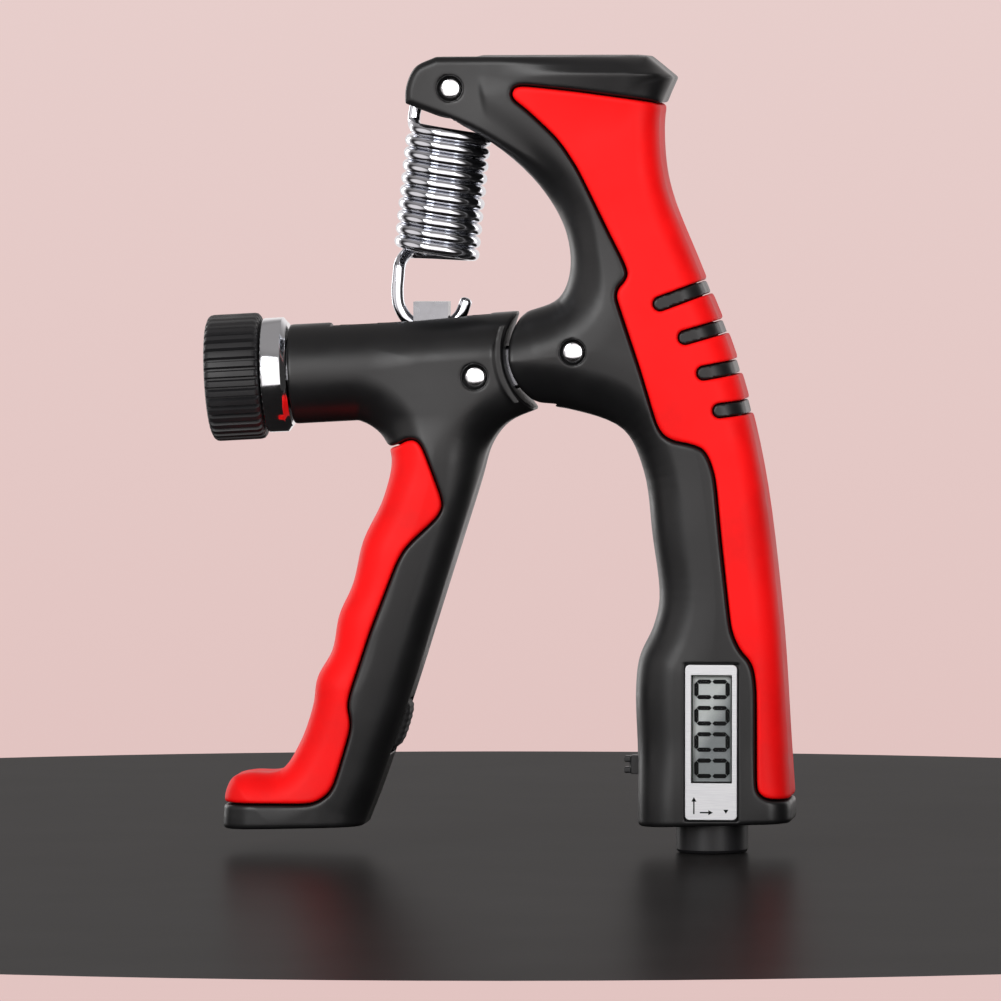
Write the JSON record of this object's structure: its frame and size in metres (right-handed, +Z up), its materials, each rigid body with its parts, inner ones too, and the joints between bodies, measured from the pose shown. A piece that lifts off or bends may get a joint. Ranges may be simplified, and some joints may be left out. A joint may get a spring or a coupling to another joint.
{
  "type": "spring hand grip trainer",
  "caption": "R-shaped spring hand grip trainer with a pivoting lever, tension knob, coil spring and a small repetition counter.",
  "frame": {"origin": "on the ground under the middle of the bounding box", "axes": "+Z up from the reset button to the head, +X from the tension knob to the main handle, -Y towards the display"},
  "size_m": [0.1184, 0.028, 0.1599],
  "materials": {
    "black_shell": "satin moulded",
    "red_grip": "soft satin overmould",
    "black_parts": "satin",
    "pad_rubber": "matte",
    "chrome": "polished",
    "steel": "zinc plated",
    "brass": "machined",
    "nylon": "matte",
    "label_plate": "satin",
    "clear_window": "gloss",
    "lcd": "gloss",
    "circuit_board": "solder mask",
    "switch_body": "satin"
  },
  "bodies": {
    "main": {"main_shell_near": "black_shell", "main_shell_far": "black_shell", "main_grip": "red_grip", "main_case_screw_1": "steel", "main_case_screw_2": "steel", "main_case_screw_3": "steel", "spring_pin": "chrome", "pivot_pin": "chrome", "pivot_washer_near": "nylon", "pivot_washer_far": "nylon", "counter_faceplate": "label_plate", "display_window": "clear_window", "lcd_panel": "lcd", "counter_board": "circuit_board", "coin_cell": "chrome", "cell_clip": "brass", "trigger_switch": "switch_body", "reset_switch": "switch_body", "reset_spring": "chrome"},
    "lever": {"lever_shell_near": "black_shell", "lever_shell_far": "black_shell", "lever_grip": "red_grip", "striker_pad": "pad_rubber", "link_plate": "steel", "pivot_bush": "brass", "lever_pin": "chrome", "lever_case_screw_1": "steel", "lever_case_screw_2": "steel", "tube_collar": "chrome", "screw_bush": "brass"},
    "knob": {"adjust_knob": "black_parts", "adjust_screw": "steel", "retaining_ring": "steel"},
    "slider": {"slider_nut": "steel", "hook_eye": "chrome"},
    "spring_top": {"spring_upper": "chrome"},
    "spring_centre": {"spring_middle": "chrome"},
    "spring_hook": {"spring_lower": "chrome"},
    "trigger": {"count_trigger": "black_parts"},
    "reset": {"reset_button": "black_parts"}
  },
  "joints": [
    {"name": "squeeze", "type": "hinge", "parent": "main", "child": "lever", "pos_m": [0.0155, 0, 0.1006], "axis": [0, -1, 0], "range_deg": [0, 30], "stiffness_Nm_per_rad": 6, "springref_deg": -5.73},
    {"name": "knob_turn", "type": "hinge", "parent": "lever", "child": "knob", "pos_m": [-0.0428, 0, 0.0957], "axis": [-0.9984, 0, -0.0558], "range_deg": [-1800.5, 540.5]},
    {"name": "slider_travel", "type": "slide", "parent": "lever", "child": "slider", "axis": [0.9984, 0, 0.0558], "range_m": [-0.01, 0.003]},
    {"name": "spring_swing", "type": "hinge", "parent": "main", "child": "spring_top", "pos_m": [-0.0093, 0, 0.1532], "axis": [0, -1, 0], "range_deg": [-13.4, 4.1]},
    {"name": "spring_take_up", "type": "slide", "parent": "spring_top", "child": "spring_centre", "axis": [-0.1052, 0, -0.9944], "range_m": [-0.0009, 0.0027], "deforming": ["spring_middle"]},
    {"name": "spring_stretch", "type": "slide", "parent": "spring_centre", "child": "spring_hook", "axis": [-0.1052, 0, -0.9944], "range_m": [0, 0.01625], "deforming": ["spring_upper", "spring_lower"]},
    {"name": "trigger_press", "type": "slide", "parent": "main", "child": "trigger", "axis": [1, 0, 0], "range_m": [0, 0.0011], "stiffness_N_per_m": 150, "springref_m": -0.0008},
    {"name": "reset_press", "type": "slide", "parent": "main", "child": "reset", "axis": [0, 0, 1], "range_m": [0, 0.002], "stiffness_N_per_m": 450, "springref_m": -0.004, "deforming": ["reset_spring"]}
  ],
  "couplings": [
    {"joint": "knob_turn", "follows": "slider_travel", "rad_per_m": 3141.6},
    {"joint": "spring_swing", "follows": "slider_travel", "rad_per_m": 23.256},
    {"joint": "spring_take_up", "follows": "slider_travel", "ratio": -0.24},
    {"joint": "squeeze", "follows": "spring_stretch", "rad_per_m": 32.206}
  ]
}
